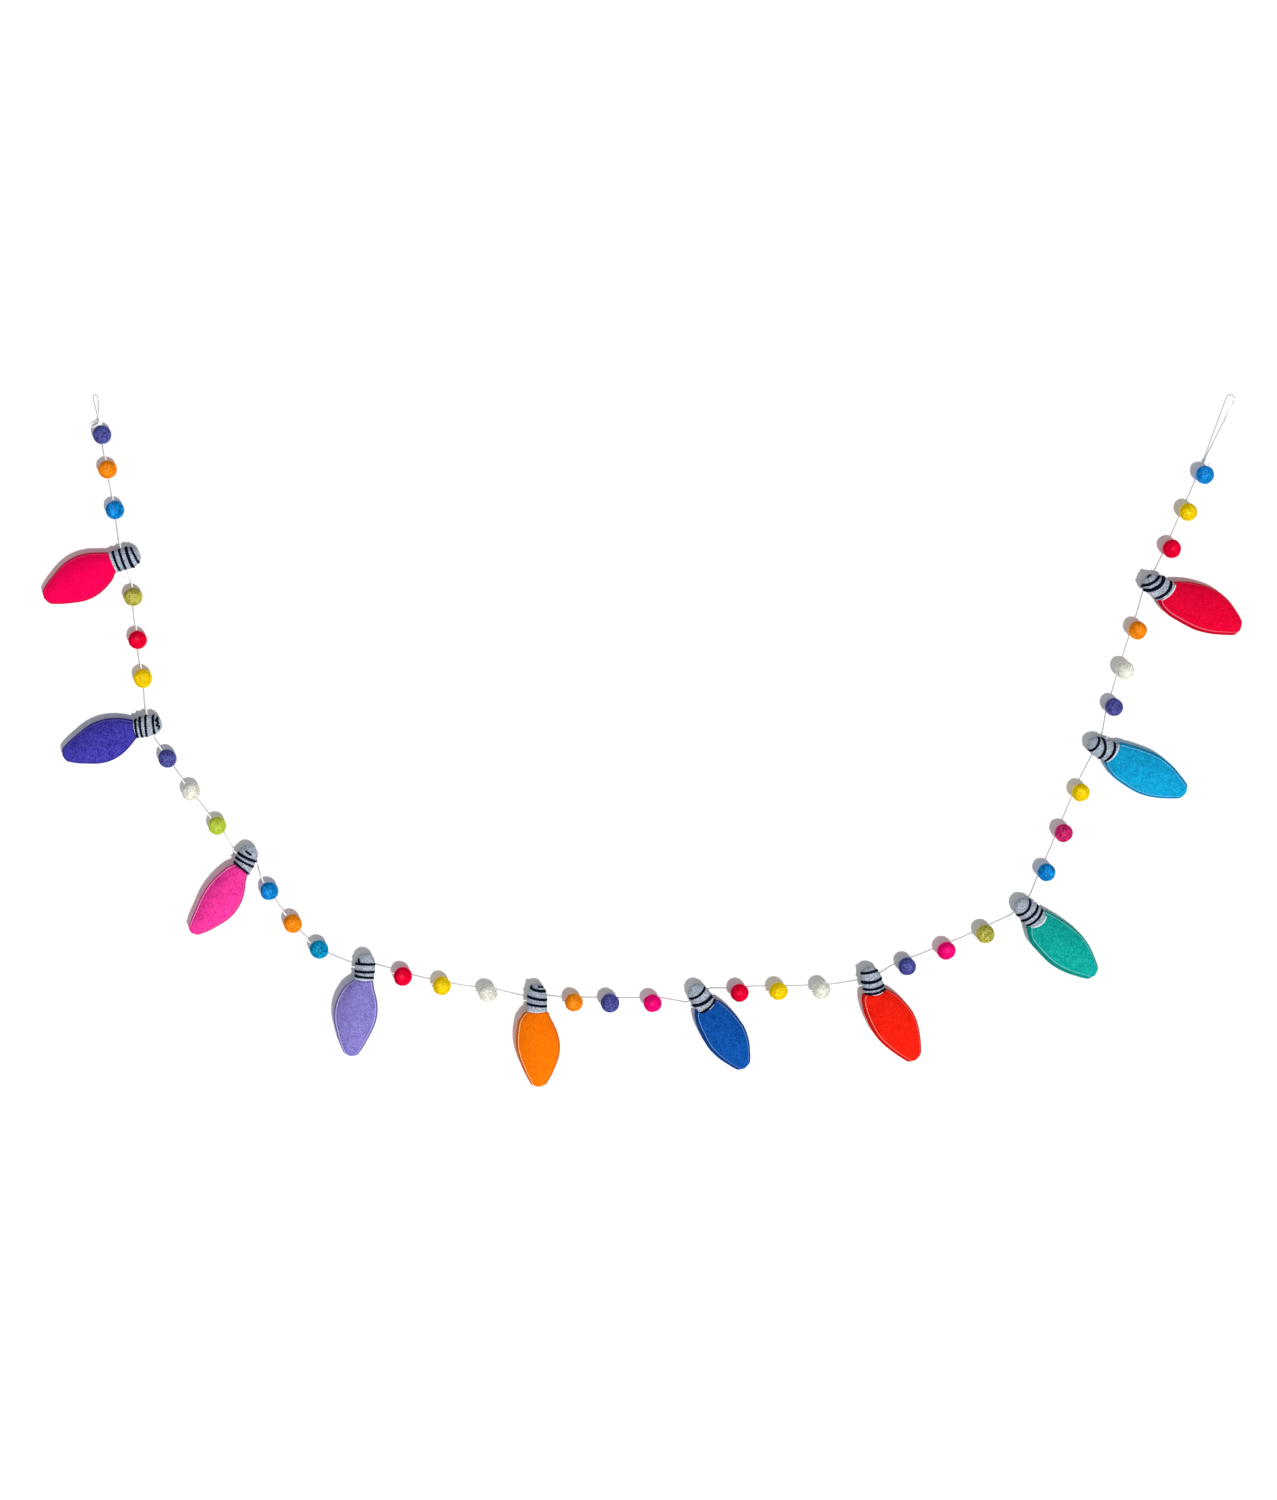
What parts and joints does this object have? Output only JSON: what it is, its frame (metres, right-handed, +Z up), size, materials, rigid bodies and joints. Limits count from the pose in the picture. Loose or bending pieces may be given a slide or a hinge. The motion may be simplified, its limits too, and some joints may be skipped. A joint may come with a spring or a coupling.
{
  "type": "felt lightbulb garland",
  "caption": "Garland of stuffed felt light bulbs and felted wool balls on one white string, hanging as a deep swag from a loop at each end.",
  "frame": {"origin": "top of the left hanging loop", "axes": "+X from the left loop to the right one, +Y away from the viewer, +Z up"},
  "size_m": [1.2004, 0.024, 0.6896],
  "materials": {
    "indigo": "dyed wool felt, matt",
    "tangerine": "dyed wool felt, matt",
    "blue": "dyed wool felt, matt",
    "olive": "dyed wool felt, matt",
    "red": "dyed wool felt, matt",
    "yellow": "dyed wool felt, matt",
    "cream": "dyed wool felt, matt",
    "lime": "dyed wool felt, matt",
    "peacock": "dyed wool felt, matt",
    "rose": "dyed wool felt, matt",
    "magenta": "dyed wool felt, matt",
    "hot_pink": "dyed wool felt, matt",
    "socket_grey": "grey marled felt",
    "violet": "dyed wool felt, matt",
    "pink": "dyed wool felt, matt",
    "lavender": "dyed wool felt, matt",
    "orange": "dyed wool felt, matt",
    "royal_blue": "dyed wool felt, matt",
    "scarlet": "dyed wool felt, matt",
    "teal": "dyed wool felt, matt",
    "turquoise": "dyed wool felt, matt",
    "crimson": "dyed wool felt, matt",
    "string_white": "twisted white string"
  },
  "bodies": {
    "root": {"ball_01": "indigo", "ball_02": "tangerine", "ball_03": "blue", "ball_04": "olive", "ball_05": "red", "ball_06": "yellow", "ball_07": "indigo", "ball_08": "cream", "ball_09": "lime", "ball_10": "blue", "ball_11": "tangerine", "ball_12": "peacock", "ball_13": "red", "ball_14": "yellow", "ball_15": "cream", "ball_16": "tangerine", "ball_17": "indigo", "ball_18": "rose", "ball_19": "red", "ball_20": "yellow", "ball_21": "cream", "ball_22": "indigo", "ball_23": "rose", "ball_24": "olive", "ball_25": "blue", "ball_26": "magenta", "ball_27": "yellow", "ball_28": "indigo", "ball_29": "cream", "ball_30": "tangerine", "ball_31": "red", "ball_32": "yellow", "ball_33": "blue", "bulb_01_body": "hot_pink", "bulb_01_socket": "socket_grey", "bulb_02_body": "violet", "bulb_02_socket": "socket_grey", "bulb_03_body": "pink", "bulb_03_socket": "socket_grey", "bulb_04_body": "lavender", "bulb_04_socket": "socket_grey", "bulb_05_body": "orange", "bulb_05_socket": "socket_grey", "bulb_06_body": "royal_blue", "bulb_06_socket": "socket_grey", "bulb_07_body": "scarlet", "bulb_07_socket": "socket_grey", "bulb_08_body": "teal", "bulb_08_socket": "socket_grey", "bulb_09_body": "turquoise", "bulb_09_socket": "socket_grey", "bulb_10_body": "crimson", "bulb_10_socket": "socket_grey", "string": "string_white"}
  },
  "joints": []
}
